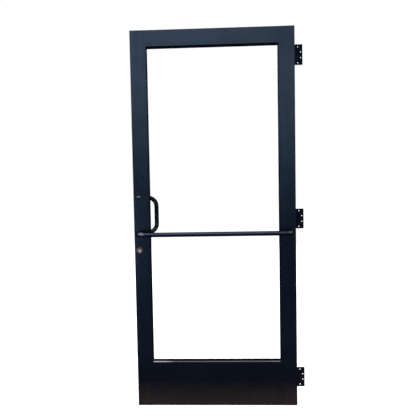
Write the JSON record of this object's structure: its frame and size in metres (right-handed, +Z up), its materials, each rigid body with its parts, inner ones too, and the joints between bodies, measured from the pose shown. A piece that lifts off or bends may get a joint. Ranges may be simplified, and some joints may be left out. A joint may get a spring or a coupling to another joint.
{
  "type": "glass door",
  "caption": "Glazed aluminium entrance door with a push bar, an offset pull handle, a keyed deadlock and butt hinges with free leaves.",
  "frame": {"origin": "centre of the door's bottom edge, midway through its thickness", "axes": "+X from the lock stile to the hinge stile, +Y from the push side to the pull side, +Z up"},
  "size_m": [0.9691, 0.1954, 2.1336],
  "materials": {
    "dark_anodised_frame": "satin dark anodised extrusion",
    "dark_anodised_stops": "satin dark anodised extrusion",
    "dark_anodised_grips": "satin dark anodised tube and bar",
    "clear_glass": "clear tempered float glass",
    "black_rubber": "matt extruded rubber",
    "mill_aluminium": "plain mill finish",
    "zinc_plated_steel": "zinc plated",
    "dark_bronze_steel": "near-black coated steel",
    "dark_faceplate": "dark anodised plate",
    "hardened_steel": "ground steel",
    "blackened_steel_bolts": "blackened, bright where worn",
    "aged_brass": "dull reddish brass",
    "nickel_plated_brass": "nickel plated, satin"
  },
  "bodies": {
    "jamb_leaves": {"bottom_hinge_free_leaf": "dark_bronze_steel", "middle_hinge_free_leaf": "dark_bronze_steel", "top_hinge_free_leaf": "dark_bronze_steel", "bottom_hinge_pin": "dark_bronze_steel", "middle_hinge_pin": "dark_bronze_steel", "top_hinge_pin": "dark_bronze_steel", "hinge_tip_plugs": "dark_bronze_steel"},
    "deadbolt": {"deadbolt": "hardened_steel"},
    "inside_plug": {"inside_key_plug": "nickel_plated_brass", "inside_cam": "aged_brass"},
    "outside_plug": {"outside_key_plug": "nickel_plated_brass", "outside_cam": "aged_brass"},
    "door": {"lock_stile": "dark_anodised_frame", "hinge_stile": "dark_anodised_frame", "top_rail": "dark_anodised_frame", "bottom_rail": "dark_anodised_frame", "front_bottom_stop": "dark_anodised_stops", "front_top_stop": "dark_anodised_stops", "front_lock_side_stop": "dark_anodised_stops", "front_hinge_side_stop": "dark_anodised_stops", "back_bottom_stop": "dark_anodised_stops", "back_top_stop": "dark_anodised_stops", "back_lock_side_stop": "dark_anodised_stops", "back_hinge_side_stop": "dark_anodised_stops", "push_bar": "dark_anodised_grips", "pull_handle": "dark_anodised_grips", "pull_cap_washer": "dark_anodised_grips", "push_bar_cap_washer": "dark_anodised_grips", "glass_pane": "clear_glass", "front_gasket": "black_rubber", "back_gasket": "black_rubber", "setting_blocks": "black_rubber", "top_lock_corner_block": "mill_aluminium", "top_hinge_corner_block": "mill_aluminium", "bottom_lock_corner_block": "mill_aluminium", "bottom_hinge_corner_block": "mill_aluminium", "push_bar_inserts": "mill_aluminium", "top_tie_rod": "zinc_plated_steel", "bottom_tie_rod": "zinc_plated_steel", "tie_rod_washers": "zinc_plated_steel", "tie_rod_nuts": "zinc_plated_steel", "hinge_backing_plates": "zinc_plated_steel", "lock_case": "zinc_plated_steel", "lock_cover": "zinc_plated_steel", "lock_brackets": "zinc_plated_steel", "deadbolt_pivot": "zinc_plated_steel", "back_to_back_stud": "zinc_plated_steel", "bottom_hinge_door_leaf": "dark_bronze_steel", "middle_hinge_door_leaf": "dark_bronze_steel", "top_hinge_door_leaf": "dark_bronze_steel", "hinge_screws": "dark_bronze_steel", "lock_faceplate": "dark_faceplate", "faceplate_screws": "dark_faceplate", "pull_through_bolt": "blackened_steel_bolts", "push_bar_through_bolt": "blackened_steel_bolts", "inside_cylinder": "aged_brass", "outside_cylinder": "aged_brass", "inside_collar": "aged_brass", "outside_collar": "aged_brass"}
  },
  "joints": [
    {"name": "door_swing", "type": "hinge", "parent": "jamb_leaves", "child": "door", "pos_m": [0.4582, 0.03492, 0], "axis": [0, 0, 1], "range_deg": [-90, 90]},
    {"name": "deadbolt_swing", "type": "hinge", "parent": "door", "child": "deadbolt", "pos_m": [-0.4432, 0, 0.9367], "axis": [0, -1, 0], "range_deg": [0, 90]},
    {"name": "inside_key_turn", "type": "hinge", "parent": "door", "child": "inside_plug", "pos_m": [-0.4286, 0, 0.9002], "axis": [0, -1, 0], "range_deg": [0, 360]},
    {"name": "outside_key_turn", "type": "hinge", "parent": "door", "child": "outside_plug", "pos_m": [-0.4286, 0, 0.9002], "axis": [0, -1, 0], "range_deg": [0, 360]}
  ],
  "couplings": [
    {"joint": "deadbolt_swing", "follows": "inside_key_turn", "ratio": 0.25}
  ]
}
